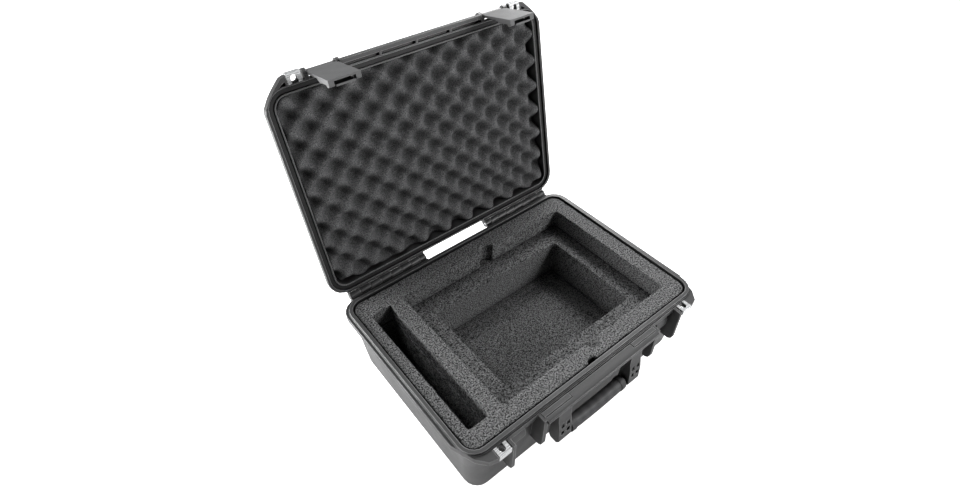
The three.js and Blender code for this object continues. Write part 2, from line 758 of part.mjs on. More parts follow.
function latchBody(side) {
  const x0 = side * latchCentre - latchWidth / 2;
  const x1 = side * latchCentre + latchWidth / 2;
  const barrelHalf = latchWidth / 2 - latchPlate / 2 - gap;
  const plate = prism('x', [
    [-latchFaceReach, latchTopZ],
    [-latchInnerFace, latchTopZ],
    [-latchEndReach + latchPlate, latchEndZ],
    [-latchEndReach, latchEndZ],
  ], x0, x1);
  const neck = prism('x', [
    [-latchFaceReach, latchTopZ - bite],
    [-latchFaceReach, latchPivotZ],
    [-latchPivotReach, latchPivotZ],
    [-latchInnerFace + bite, latchTopZ - latchPlate],
  ], side * latchCentre - barrelHalf, side * latchCentre + barrelHalf);
  const barrel = rod(
    latchBarrelRadius, side * latchCentre - barrelHalf, side * latchCentre + barrelHalf,
    -latchPivotReach, latchPivotZ,
  );
  const cheek = [
    [-latchInnerFace - bite, latchEndZ],
    [-latchInnerFace - bite, latchTopZ],
    ...cheekShares.map(([down, back]) => [
      -latchInnerFace + latchCheekDepth * back, mix(latchTopZ, latchEndZ, down),
    ]),
  ];
  const leg = legShares.map(([back, up]) => [
    -latchEndReach + bite + (latchLegDepth - bite) * back, latchEndZ + latchLegHeight * up,
  ]);
  const bar = box(
    x0, x1, -latchInnerFace - bite / 2, -latchInnerFace + latchBarReach, barTop - latchBarHeight, barTop,
  );
  return cut(
    join(
      plate, neck, barrel, bar,
      prism('x', cheek, x0, x0 + latchPlate),
      prism('x', cheek, x1 - latchPlate, x1),
      prism('x', leg, x0, x0 + latchLegWidth),
      prism('x', leg, x1 - latchLegWidth, x1),
    ),
    rod(latchPinRadius + gap, x0 - overrun, x1 + overrun, -latchPivotReach, latchPivotZ),
    rod(triggerPinRadius + gap, x0 + bite, x1 - bite, -triggerPivotReach, triggerPivotZ),
  );
}

function latchPin(side) {
  return rod(
    latchPinRadius, side * latchCentre - latchPinHalf, side * latchCentre + latchPinHalf,
    -latchPivotReach, latchPivotZ,
  );
}

/** Lever on a hub, whose edge shows between the legs of the latch. */
function triggerLever(side) {
  const x0 = side * latchCentre - triggerWidth / 2;
  const x1 = side * latchCentre + triggerWidth / 2;
  const inner = -triggerPivotReach + triggerHubRadius;
  const end = -latchEndReach + latchLegDepth;
  const tail = [
    [inner - triggerThickness, triggerPivotZ],
    [end - triggerThickness, latchEndZ + bite],
    [end - triggerThickness, latchEndZ - bite],
    [end, latchEndZ - bite],
    [end, latchEndZ + bite],
    [inner, triggerPivotZ],
  ];
  return cut(
    join(rod(triggerHubRadius, x0, x1, -triggerPivotReach, triggerPivotZ), prism('x', tail, x0, x1)),
    rod(triggerPinRadius + gap, x0 - overrun, x1 + overrun, -triggerPivotReach, triggerPivotZ),
  );
}

function triggerPin(side) {
  const half = latchWidth / 2 - bite - gap;
  return rod(
    triggerPinRadius, side * latchCentre - half, side * latchCentre + half, -triggerPivotReach, triggerPivotZ,
  );
}

/** Torsion spring beside the lever: a coil round the pin. */
class Coil extends THREE.Curve {
  constructor(start, radius, pitch, turns) {
    super();
    Object.assign(this, { start, radius, pitch, turns });
  }

  getPoint(share) {
    const angle = share * this.turns * Math.PI * 2;
    return new THREE.Vector3(
      this.start + this.pitch * this.turns * share,
      -triggerPivotReach + this.radius * Math.cos(angle),
      triggerPivotZ + this.radius * Math.sin(angle),
    );
  }
}

function triggerSpring(side) {
  const start = side * latchCentre + triggerWidth / 2 + gap * 2 + springWireRadius;
  const pitch = springWireRadius * 2 + springGap;
  const coil = new Coil(start, triggerPinRadius + gap + springWireRadius, pitch, springTurns);
  const wire = new THREE.Shape(circle(0, 0, springWireRadius, 5).map(([u, v]) => new THREE.Vector2(u, v)));
  return solid(new THREE.ExtrudeGeometry(wire, {
    steps: springTurns * 10, extrudePath: coil, bevelEnabled: false,
  }));
}

// Padlock plates: steel folded over the tongues, slotted from the back to the shackle's hole

function lockPlate(side, low, high) {
  const inner = plateReach - plateSteel;
  const back = plateReach - plateDepth;
  const profile = [
    [-plateReach, low], [-back, low], [-back, low + plateSteel], [-inner, low + plateSteel],
    [-inner, high - plateSteel], [-back, high - plateSteel], [-back, high], [-plateReach, high],
  ];
  const centre = side * (plateInner + plateWidth / 2);
  const slot = box(
    centre - plateHoleRadius, centre + plateHoleRadius,
    -plateReach + plateDepth * plateHoleShare, -back + overrun, low - overrun, high + overrun,
  );
  return cut(
    prism('x', profile, side * plateInner, side * (plateInner + plateWidth)), lockHole(side), slot,
  );
}

// Handle

const handleFront = flangeHalfY + handleStand;
const handleBack = handleFront - handleDepth;
const gripReach = handleFront - handleDepth / 2;
const gripHalf = armInner - gripInset;

// Front of an arm from the head down: shares of the arm's length and of its forward lean
const armFrontShares = [[0.3, 0.1], [0.55, 0.7], [0.9, 1]];
// Back of an arm upwards: shares of its length and of the small lean that clears the wall
const armBackShares = [[0.9, 0], [0.5, 2]];

function handleArm(side) {
  const foot = ridgeTop - handleLength;
  const level = (share) => mix(handlePinZ, foot, share);
  const headFront = handlePivotReach + handleHeadRadius;
  const profile = [
    ...arc(-handlePivotReach, handlePinZ, handleHeadRadius, -20, 200),
    ...armFrontShares.map(([down, lean]) => [-mix(headFront, handleFront, lean), level(down)]),
    [-handleFront + handleFootRound, foot],
    [-handleBack - handleFootRound, foot],
    ...armBackShares.map(([down, lean]) => [-handleBack - bite * lean, level(down)]),
  ];
  return prism('x', profile, side * armInner, side * armOuter);
}

/** Square pockets that lighten the front of an arm, in two columns. */
function armPockets(side) {
  return pocketColumnShares.flatMap((column) => pocketRowShares.map((row) => {
    const x = side * mix(armInner, armOuter, column);
    const z = ridgeTop - handleLength * row;
    const depth = pocketDepth * (2 - row); // the arm's front leans back towards its head
    return box(
      x - pocketWidth / 2, x + pocketWidth / 2, -handleFront - overrun, -handleFront + depth,
      z - pocketHeight / 2, z + pocketHeight / 2,
    );
  }));
}

/** Oval bar between the arms, bowed down in the middle. */
function bowedBar(half, width, height, steps = 12) {
  const ring = circle(0, 0, 1);
  return loft(Array.from({ length: steps + 1 }, (_, i) => {
    const share = (i / steps) * 2 - 1;
    const drop = handleLength - coreRise + gripBow * (1 - share * share);
    const points = ring.map(([u, v]) => [-gripReach + u * width / 2, ridgeTop - drop + v * height / 2]);
    return { z: share * half, points };
  }), alongX);
}

const coreHalf = armInner + bite;

function handleFrame() {
  const shapes = sides.map(([, side]) => cut(handleArm(side), ...armPockets(side)));
  return cut(
    join(bowedBar(coreHalf, coreWidth, coreHeight), ...shapes),
    ...sides.map(([, side]) => rod(
      handlePinRadius + gap, side * (armInner - overrun), side * (armOuter + overrun),
      -handlePivotReach, handlePinZ,
    )),
  );
}

function handleGrip() {
  const keep = (from, to) => box(from, to, -handleFront - overrun, -handleBack + overrun, 0, ridgeTop);
  const sleeve = bowedBar(coreHalf, gripWidth, gripHeight).intersect(keep(-gripHalf, gripHalf));
  const collars = sides.map(([, side]) => (
    bowedBar(coreHalf, gripWidth + gripCollar, gripHeight + gripCollar)
      .intersect(keep(side * gripHalf, side * (gripHalf - gripCollarLength)))
  ));
  return cut(join(sleeve, ...collars), bowedBar(coreHalf, coreWidth + gap * 2, coreHeight + gap * 2));
}

function handlePin(side) {
  return rod(handlePinRadius, side * handlePinInner, side * handlePinOuter, -handlePivotReach, handlePinZ);
}

// Foam

/** Foam layer that follows the cavity's draft between two heights. */
function foamLayer(low, high) {
  const level = (z) => {
    const [halfX, halfY] = cavityHalf(z);
    return [halfX - foamClearance, halfY - foamClearance, mouthRadius - foamClearance, z];
  };
  const middle = low < flangeUnder && high > flangeUnder ? [level(flangeUnder)] : [];
  return roundedStack([level(low), ...middle, level(high)]);
}

const foamTop = ridgeTop - foamTopDrop;
const ledge = foamTop - upperCut.depth;
const innerFloor = floorThickness + floorFoamThickness;
const layerGap = gap / 2;
const upperPlace = {
  left: -mouthHalfX + upperCut.left,
  right: mouthHalfX - upperCut.right,
  front: -mouthHalfY + upperCut.front,
  back: mouthHalfY - upperCut.back,
};
const innerPlace = {
  left: upperPlace.left + innerCut.left,
  right: upperPlace.right - innerCut.right,
  front: upperPlace.front + innerCut.front,
  back: upperPlace.back - innerCut.back,
};
const slotPlace = {
  left: -mouthHalfX + sideSlot.left,
  right: -mouthHalfX + sideSlot.left + sideSlot.width,
  front: -mouthHalfY + sideSlot.front,
  back: mouthHalfY - sideSlot.back,
};
const cutBox = ({ left, right, front, back }, low, high) => box(left, right, front, back, low, high);

function foamTopLayer() {
  const low = ledge - overrun;
  const high = foamTop + overrun;
  const [, wallY] = cavityHalf(ledge);
  return cut(
    foamLayer(ledge + layerGap, foamTop),
    cutBox(upperPlace, low, high),
    cutBox(slotPlace, low, high),
    ...[upperPlace.front, upperPlace.back].map((y) => (
      prism('z', circle(fingerPlace, y, fingerRadius, smallCircle * 2), low, high)
    )),
    box(
      -valveNotchWidth / 2, valveNotchWidth / 2, -mouthHalfY - overrun, -wallY + valveNotchDepth, low, high,
    ),
  );
}

function foamMiddleLayer() {
  return cut(
    foamLayer(innerFloor + layerGap, ledge - layerGap),
    cutBox(innerPlace, innerFloor - overrun, ledge + overrun),
    cutBox(slotPlace, innerFloor - overrun, ledge + overrun),
  );
}

const foamFloorLayer = () => foamLayer(floorThickness + gap, innerFloor - layerGap);

/** Convoluted pad in the lid: rows of peaks and pits, cosine by cosine, over a flat back. */
function eggFoam() {
  const back = lidTop - wall - gap;
  const front = rimFace + lidFoamRecess;
  const halfX = lipHalfX - lidFoamInset;
  const halfY = lipHalfY - lidFoamInset;
  const columns = Math.floor((halfX * 2 / eggPitchX) * eggSteps);
  const rows = Math.floor((halfY * 2 / eggPitchY) * eggSteps);
  const across = columns + 1;
  const positions = [];
  const place = (i, j) => [mix(-halfX, halfX, i / columns), mix(-halfY, halfY, j / rows)];
  for (let j = 0; j <= rows; j += 1) {
    for (let i = 0; i <= columns; i += 1) {
      const [x, y] = place(i, j);
      const wave = Math.cos((x / eggPitchX) * Math.PI * 2) * Math.cos((y / eggPitchY) * Math.PI * 2);
      positions.push(x, y, front + (eggHeight / 2) * (1 - wave));
    }
  }
  const rim = [];
  for (let i = 0; i < columns; i += 1) rim.push(i);
  for (let j = 0; j < rows; j += 1) rim.push(j * across + columns);
  for (let i = columns; i > 0; i -= 1) rim.push(rows * across + i);
  for (let j = rows; j > 0; j -= 1) rim.push(j * across);
  const index = [];
  for (let j = 0; j < rows; j += 1) {
    for (let i = 0; i < columns; i += 1) {
      const a = j * across + i;
      index.push(a, a + across, a + 1, a + 1, a + across, a + across + 1);
    }
  }
  const backStart = positions.length / 3;
  rim.forEach((corner) => positions.push(positions[corner * 3], positions[corner * 3 + 1], back));
  rim.forEach((corner, i) => {
    const next = (i + 1) % rim.length;
    index.push(corner, rim[next], backStart + next, corner, backStart + next, backStart + i);
  });
  const centre = positions.length / 3;
  positions.push(0, 0, back);
  rim.forEach((_, i) => index.push(backStart + i, backStart + ((i + 1) % rim.length), centre));
  const geometry = new THREE.BufferGeometry();
  geometry.setAttribute('position', new THREE.Float32BufferAttribute(positions, 3));
  geometry.setIndex(index);
  const fit = roundedStack([
    [halfX, halfY, mouthRadius - lidLipInset, rimFace],
    [halfX, halfY, mouthRadius - lidLipInset, lidFlangeTop],
    [halfX - lidDraft, halfY - lidDraft, mouthRadius - lidLipInset, lidTop - wall],
  ]);
  return solid(geometry).intersect(fit);
}

// Pressure valve in the front wall, under the platform

// Faces where the valve's seal and nut bear: the wall leans, so each clears its proudest point
const valveOuter = -wallFront(valveZ + valveBodyRadius) - gap;
const valveInner = -cavityHalf(valveZ - valveNutRadius)[1] + gap;

function valveBody() {
  const stemEnd = valveInner + valveNutThickness;
  const seat = valveOuter - valveSealThickness - gap;
  return cut(
    join(
      prism('y', circle(0, valveZ, valveBodyRadius, 18), seat - valveHeadThickness, seat),
      prism('y', circle(0, valveZ, valveStemRadius, 18), seat - bite, stemEnd),
    ),
    prism('y', circle(0, valveZ, valveBoreRadius), seat, stemEnd + overrun),
  );
}

function valveNut() {
  const end = valveInner + valveNutThickness;
  return cut(
    prism('y', circle(0, valveZ, valveNutRadius, 6), valveInner, end),
    prism('y', circle(0, valveZ, valveStemRadius + gap, 18), valveInner - overrun, end + overrun),
  );
}

function valveSeal() {
  const front = valveOuter - valveSealThickness;
  return cut(
    prism('y', circle(0, valveZ, valveBodyRadius - bite, 18), front, valveOuter),
    prism('y', circle(0, valveZ, valveStemRadius + gap, 18), front - overrun, valveOuter + overrun),
  );
}

// Assembly

const laptopCase = new THREE.Group();
laptopCase.add(
  piece('base_shell', baseShell(), plastic),
  piece('base_foam_top', foamTopLayer(), baseFoam),
  piece('base_foam_middle', foamMiddleLayer(), baseFoam),
  piece('base_foam_floor', foamFloorLayer(), baseFoam),
  piece('handle_frame', handleFrame(), darkPlastic),
  piece('handle_grip', handleGrip(), gripRubber),
  piece('valve_body', valveBody(), darkPlastic),
  piece('valve_nut', valveNut(), darkPlastic),
  piece('valve_seal', valveSeal(), rubber),
);

const hingeLine = new THREE.Group();
hingeLine.position.set(0, hingeY, hingeZ);
hingeLine.rotation.x = -THREE.MathUtils.degToRad(lidOpenAngle);
const lid = new THREE.Group();
lid.position.set(0, -hingeY, -hingeZ);
hingeLine.add(lid);
laptopCase.add(hingeLine);
lid.add(
  piece('lid_shell', lidShell(), plastic),
  piece('lid_seal', lidSeal(), rubber),
  piece('lid_foam', eggFoam(), softFoam),
);

sides.forEach(([name, side]) => {
  laptopCase.add(
    piece(`hinge_pin_${name}`, rod(
      hingePinRadius, side * (hingeStart + knuckleGap), side * (hingePinEnd - gap), hingeY, hingeZ,
    ), steel),
    piece(`handle_pin_${name}`, handlePin(side), steel),
    piece(`lock_plate_base_${name}`, lockPlate(side, flangeUnder, flangeTop), steel),
  );
  lid.add(
    piece(`lock_plate_lid_${name}`, lockPlate(side, rimFace, lidFlangeTop), steel),
    piece(`latch_${name}`, latchBody(side), darkPlastic),
    piece(`latch_pin_${name}`, latchPin(side), steel),
    piece(`latch_trigger_${name}`, triggerLever(side), darkPlastic),
    piece(`trigger_pin_${name}`, triggerPin(side), steel),
    piece(`trigger_spring_${name}`, triggerSpring(side), steel),
  );
});

export default laptopCase;
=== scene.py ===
import json
import math

import bmesh
import bpy
import numpy as np
from mathutils import Matrix, Vector


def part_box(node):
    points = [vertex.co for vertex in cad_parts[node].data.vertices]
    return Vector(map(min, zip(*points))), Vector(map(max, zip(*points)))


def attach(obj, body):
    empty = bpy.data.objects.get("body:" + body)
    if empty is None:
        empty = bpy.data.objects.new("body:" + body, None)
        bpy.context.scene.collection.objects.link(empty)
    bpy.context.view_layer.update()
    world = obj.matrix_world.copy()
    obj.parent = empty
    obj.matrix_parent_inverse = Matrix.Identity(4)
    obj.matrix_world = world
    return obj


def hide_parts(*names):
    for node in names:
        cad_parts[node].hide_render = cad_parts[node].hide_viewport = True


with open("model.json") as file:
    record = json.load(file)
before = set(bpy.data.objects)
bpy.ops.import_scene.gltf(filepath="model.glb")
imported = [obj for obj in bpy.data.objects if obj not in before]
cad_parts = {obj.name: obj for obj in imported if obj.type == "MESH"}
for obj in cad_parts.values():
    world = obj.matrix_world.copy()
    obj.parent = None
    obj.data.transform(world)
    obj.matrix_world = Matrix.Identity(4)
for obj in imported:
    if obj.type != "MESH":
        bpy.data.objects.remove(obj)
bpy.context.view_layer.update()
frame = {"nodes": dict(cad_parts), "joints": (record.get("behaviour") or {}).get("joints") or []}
nodes = frame["nodes"]

# Base and lid are injection moulded in a dark grey plastic with a fine, even satin grain.
# The tool leaves small round edges; handling rubs those edges a little lighter, and a painted highlight along
# them lightens them further.
shell_colour = (0.060, 0.060, 0.061, 1)
shell_rubbed_and_highlight = (0.40, 0.40, 0.403, 1)
shell_roughness = 0.42
shell_edge = 0.0018
shell_grain = 1500.0
shell_relief = 0.18
edge_wear_and_highlight_gain = 9.0
grain_height = 0.0004
mottle_scale = 14.0
mottle_share = 0.14
tone_low, tone_high = 0.3, 0.7
least_edge_patch = 0.45
gloss_spread = 0.05
corner_reach = 0.010
corner_power = 2.4
dark_corner = (0.008, 0.008, 0.008, 1)
smooth_below = math.radians(32)
weld_reach = 0.00001
ray_samples = 6


def add(tree, kind, values=(), **settings):
    """Adds one shader node. Values pair a socket with a number, a colour or the socket that feeds it."""
    made = tree.nodes.new("ShaderNode" + kind)
    for key, value in settings.items():
        setattr(made, key, value)
    for key, value in dict(values).items():
        if isinstance(value, bpy.types.NodeSocket):
            tree.links.new(value, made.inputs[key])
        else:
            made.inputs[key].default_value = value
    return made


def effect(name, inputs, outputs):
    """Starts a shader node group: its tree, its input node and its output node."""
    tree = bpy.data.node_groups.new(name, "ShaderNodeTree")
    for socket, kind, value in inputs:
        made = tree.interface.new_socket(socket, in_out="INPUT", socket_type="NodeSocket" + kind)
        made.default_value = value
    for socket, kind in outputs:
        tree.interface.new_socket(socket, in_out="OUTPUT", socket_type="NodeSocket" + kind)
    return tree, tree.nodes.new("NodeGroupInput"), tree.nodes.new("NodeGroupOutput")


# Round edge: the shading normal blended over the edge, and a mask where it leaves the face's own.
edge_tree, edge_in, edge_out = effect(
    "round_edge",
    [("Radius", "Float", 0.001), ("Gain", "Float", edge_wear_and_highlight_gain)],
    [("Mask", "Float"), ("Normal", "Vector")],
)
edge_bevel = add(edge_tree, "Bevel", {"Radius": edge_in.outputs["Radius"]}, samples=ray_samples)
edge_face = add(edge_tree, "NewGeometry")
edge_dot = add(
    edge_tree, "VectorMath",
    {0: edge_bevel.outputs["Normal"], 1: edge_face.outputs["Normal"]},
    operation="DOT_PRODUCT",
)
edge_turn = add(edge_tree, "Math", {0: 1.0, 1: edge_dot.outputs["Value"]}, operation="SUBTRACT")
edge_mask = add(
    edge_tree, "Math",
    {0: edge_turn.outputs[0], 1: edge_in.outputs["Gain"]},
    operation="MULTIPLY", use_clamp=True,
)
edge_tree.links.new(edge_mask.outputs[0], edge_out.inputs["Mask"])
edge_tree.links.new(edge_bevel.outputs["Normal"], edge_out.inputs["Normal"])

# Moulded grain: a fine pebble for relief, and a broad, faint mottle for tone.
grain_tree, grain_in, grain_out = effect(
    "moulded_grain", [("Scale", "Float", shell_grain)], [("Height", "Float"), ("Tone", "Float")]
)
grain_place = add(grain_tree, "TexCoord")
grain_fine = add(
    grain_tree, "TexNoise",
    {
        "Vector": grain_place.outputs["Object"],
        "Scale": grain_in.outputs["Scale"],
        "Detail": 2.0,
        "Roughness": 0.6,
    },
)
grain_broad = add(
    grain_tree, "TexNoise",
    {
        "Vector": grain_place.outputs["Object"],
        "Scale": mottle_scale,
        "Detail": 5.0,
        "Roughness": 0.62,
    },
)
grain_tree.links.new(grain_fine.outputs["Fac"], grain_out.inputs["Height"])
grain_tree.links.new(grain_broad.outputs["Fac"], grain_out.inputs["Tone"])

# Cavity: how much of the space round a point its own neighbourhood fills, for dirt and shade in corners.
cavity_tree, cavity_in, cavity_out = effect(
    "cavity", [("Reach", "Float", corner_reach), ("Power", "Float", corner_power)], [("Open", "Float")]
)
cavity_space = add(
    cavity_tree, "AmbientOcclusion", {"Distance": cavity_in.outputs["Reach"]}, samples=ray_samples
)
cavity_power = add(
    cavity_tree, "Math", {0: cavity_space.outputs["AO"], 1: cavity_in.outputs["Power"]}, operation="POWER"
)
cavity_tree.links.new(cavity_power.outputs[0], cavity_out.inputs["Open"])


def moulded(name, colour, rubbed_and_highlight, roughness, edge, grain, relief):
    """Material of a moulded piece: mottled colour, corners darkened as dirt and painted shade, edges
    lightened by handling and by a painted highlight, and grain on rounded edges.
    """
    material = bpy.data.materials.new(name)
    material.use_nodes = True
    tree = material.node_tree
    shader = tree.nodes["Principled BSDF"]
    edges = add(tree, "Group", node_tree=edge_tree)
    edges.inputs["Radius"].default_value = edge
    grains = add(tree, "Group", node_tree=grain_tree)
    grains.inputs["Scale"].default_value = grain
    dark = [c * (1 - mottle_share) for c in colour[:3]] + [1]
    light = [c * (1 + mottle_share) for c in colour[:3]] + [1]
    tone = add(tree, "MapRange", {0: grains.outputs["Tone"], 1: tone_low, 2: tone_high, 3: 0.0, 4: 1.0})
    mottle = add(tree, "Mix", {0: tone.outputs[0], 6: dark, 7: light}, data_type="RGBA")
    edge_patches = add(tree, "MapRange", {0: tone.outputs[0], 1: 0.0, 2: 1.0, 3: least_edge_patch, 4: 1.0})
    rub_and_highlight_share = add(tree, "Math", {0: edges.outputs["Mask"], 1: edge_patches.outputs[0]}, operation="MULTIPLY")
    # Painted highlight: the edges are mixed towards a pale colour, partly wear and partly a painted highlight
    # on the rounded edges.
    rub_and_highlight = add(tree, "Mix", {0: rub_and_highlight_share.outputs[0], 6: mottle.outputs[2], 7: rubbed_and_highlight}, data_type="RGBA")
    cavity = add(tree, "Group", node_tree=cavity_tree)
    cavity.inputs["Reach"].default_value = corner_reach
    cavity.inputs["Power"].default_value = corner_power
    shade = add(tree, "Mix", {0: cavity.outputs["Open"], 6: dark_corner, 7: rub_and_highlight.outputs[2]}, data_type="RGBA")
    gloss = add(
        tree, "MapRange",
        {
            0: grains.outputs["Tone"], 1: tone_low, 2: tone_high,
            3: roughness + gloss_spread, 4: roughness - gloss_spread,
        },
    )
    bump = add(
        tree, "Bump",
        {
            "Strength": relief,
            "Distance": grain_height,
            "Height": grains.outputs["Height"],
            "Normal": edges.outputs["Normal"],
        },
    )
    tree.links.new(shade.outputs[2], shader.inputs["Base Color"])
    tree.links.new(gloss.outputs[0], shader.inputs["Roughness"])
    tree.links.new(bump.outputs["Normal"], shader.inputs["Normal"])
    return material


# Shades a moulding smooth across its shallow facets and keeps the edges steeper than the given angle.
facet_tree = bpy.data.node_groups.new("smooth_facets", "GeometryNodeTree")
facet_tree.interface.new_socket("Geometry", in_out="INPUT", socket_type="NodeSocketGeometry")
facet_tree.interface.new_socket("Geometry", in_out="OUTPUT", socket_type="NodeSocketGeometry")
facet_in = facet_tree.nodes.new("NodeGroupInput")
facet_out = facet_tree.nodes.new("NodeGroupOutput")
facet_smooth = facet_tree.nodes.new("GeometryNodeSetShadeSmooth")
facet_sharp = facet_tree.nodes.new("GeometryNodeSetShadeSmooth")
facet_sharp.domain = "EDGE"
facet_sharp.inputs["Shade Smooth"].default_value = False
facet_angle = facet_tree.nodes.new("GeometryNodeInputMeshEdgeAngle")
facet_steep = facet_tree.nodes.new("FunctionNodeCompare")
facet_steep.operation = "GREATER_THAN"
facet_steep.inputs[1].default_value = smooth_below
facet_tree.links.new(facet_in.outputs[0], facet_smooth.inputs["Geometry"])
facet_tree.links.new(facet_smooth.outputs[0], facet_sharp.inputs["Geometry"])
facet_tree.links.new(facet_angle.outputs["Unsigned Angle"], facet_steep.inputs[0])
facet_tree.links.new(facet_steep.outputs[0], facet_sharp.inputs["Selection"])
facet_tree.links.new(facet_sharp.outputs[0], facet_out.inputs[0])


def dress(name, material):
    """Gives a CAD node its material and smooth facets; its mesh and place stay as they are."""
    thing = nodes[name]
    thing.material_slots[0].material = material
    weld = thing.modifiers.new("weld", "WELD")
    weld.merge_threshold = weld_reach
    facets = thing.modifiers.new("facets", "NODES")
    facets.node_group = facet_tree
    normals = thing.modifiers.new("normals", "WEIGHTED_NORMAL")
    normals.keep_sharp = True


shell_plastic = moulded(
    "shell_plastic", shell_colour, shell_rubbed_and_highlight, shell_roughness, shell_edge, shell_grain, shell_relief
)
dress("base_shell", shell_plastic)

# The insert is closed cell foam, cut and glued in three layers with a stepped bay and a side slot.
# Its cut faces are coarse and pebbly, so they catch the light as a salt-and-pepper grain.
foam_voxel = 0.0025
foam_relief = 0.0011
foam_skin = 0.0002
foam_lump = 0.0045
foam_swell = 0.011
foam_lump_share = 0.7
foam_dark = (0.005, 0.005, 0.005, 1)
foam_light = (0.29, 0.292, 0.295, 1)
foam_cells = 430.0
foam_contrast = 0.10
foam_bump = 1.0
foam_bump_height = 0.0015
foam_roughness = 0.95
foam_specular = 0.2
foam_shade_reach = 0.02
foam_shade_power = 0.8
foam_gap = 0.0016
foam_gap_deep = 0.012
foam_corner = 0.0215
hash_axes = np.array([73856093, 19349663, 83492791])
hash_seed, hash_step, hash_start, hash_top = 2654435761, 1103515245, 12345, 0x7FFFFFFF


def lattice_noise(points, cell, seed):
    """Smooth noise from 0 to 1: each corner of a cubic lattice gets a value from its whole numbers and the
    seed, mixed by large primes, and the values are blended by smoothstep weights between the corners."""
    scaled = points / cell
    base = np.floor(scaled).astype(np.int64)
    share = scaled - base
    share = share * share * (3 - 2 * share)
    total = np.zeros(len(points))
    for corner in np.ndindex(2, 2, 2):
        place = base + np.array(corner)
        mixed = np.bitwise_xor.reduce(place * hash_axes, axis=1) ^ (seed * hash_seed)
        value = ((mixed * hash_step + hash_start) & hash_top) / hash_top
        weight = np.prod(np.where(np.array(corner) == 1, share, 1 - share), axis=1)
        total += value * weight
    return total


foam_tree, foam_in, foam_out = effect(
    "foam_grain", [("Scale", "Float", foam_cells)], [("Height", "Float"), ("Tone", "Float")]
)
foam_place = add(foam_tree, "TexCoord")
foam_pebble = add(
    foam_tree, "TexVoronoi",
    {"Vector": foam_place.outputs["Object"], "Scale": foam_in.outputs["Scale"], "Randomness": 1.0},
)
foam_speckle = add(
    foam_tree, "TexNoise",
    {
        "Vector": foam_place.outputs["Object"],
        "Scale": foam_in.outputs["Scale"],
        "Detail": 3.0,
        "Roughness": 0.7,
    },
)
foam_mix = add(
    foam_tree, "Math",
    {0: foam_speckle.outputs["Fac"], 1: foam_pebble.outputs["Distance"]},
    operation="SUBTRACT",
)
foam_tree.links.new(foam_mix.outputs[0], foam_out.inputs["Height"])
foam_tree.links.new(foam_speckle.outputs["Fac"], foam_out.inputs["Tone"])


def foam_material(name, dark, light, cells, contrast, relief, reach, power):
    """Material of foam: speckled tone between two greys, shaded hollows, deep pebbled relief, no gloss."""
    material = bpy.data.materials.new(name)
    material.use_nodes = True
    tree = material.node_tree
    shader = tree.nodes["Principled BSDF"]
    grains = add(tree, "Group", node_tree=foam_tree)
    grains.inputs["Scale"].default_value = cells
    low, high = 0.5 - contrast, 0.5 + contrast
    tone = add(tree, "MapRange", {0: grains.outputs["Tone"], 1: low, 2: high, 3: 0.0, 4: 1.0})
    colour = add(tree, "Mix", {0: tone.outputs[0], 6: dark, 7: light}, data_type="RGBA")
    cavity = add(tree, "Group", node_tree=cavity_tree)
    cavity.inputs["Reach"].default_value = reach
    cavity.inputs["Power"].default_value = power
    shade = add(
        tree, "Mix", {0: cavity.outputs["Open"], 6: dark_corner, 7: colour.outputs[2]}, data_type="RGBA"
    )
    bump = add(
        tree, "Bump", {"Strength": relief, "Distance": foam_bump_height, "Height": grains.outputs["Height"]}
    )
    tree.links.new(shade.outputs[2], shader.inputs["Base Color"])
    tree.links.new(bump.outputs["Normal"], shader.inputs["Normal"])
    shader.inputs["Roughness"].default_value = foam_roughness
    shader.inputs["Specular IOR Level"].default_value = foam_specular
    return material


def mesh_object(name, points, faces):
    """New object at the origin from arrays of points and faces, shaded smooth."""
    mesh = bpy.data.meshes.new(name)
    mesh.from_pydata(points.tolist(), [], faces.tolist())
    mesh.shade_smooth()
    thing = bpy.data.objects.new(name, mesh)
    bpy.context.scene.collection.objects.link(thing)
    return thing


def drawn_in(points, half_x, half_y, top):
    """Points moved off the rim: inwards along the outline's normal by foam_gap, fading over foam_gap_deep
    below the top and over three gaps inside a rectangle of the given halves, its corners of radius
    foam_corner."""
    over_x = np.maximum(np.abs(points[:, 0]) - half_x + foam_corner, 0)
    over_y = np.maximum(np.abs(points[:, 1]) - half_y + foam_corner, 0)
    reach = np.hypot(over_x, over_y)
    near = np.clip(1 - (foam_corner - reach) / (3 * foam_gap), 0, 1)
    high = np.clip(1 - (top - points[:, 2]) / foam_gap_deep, 0, 1)
    step = foam_gap * near * high / np.maximum(reach, 1e-9)
    moved = points.copy()
    moved[:, 0] -= np.sign(points[:, 0]) * over_x * step
    moved[:, 1] -= np.sign(points[:, 1]) * over_y * step
    return moved


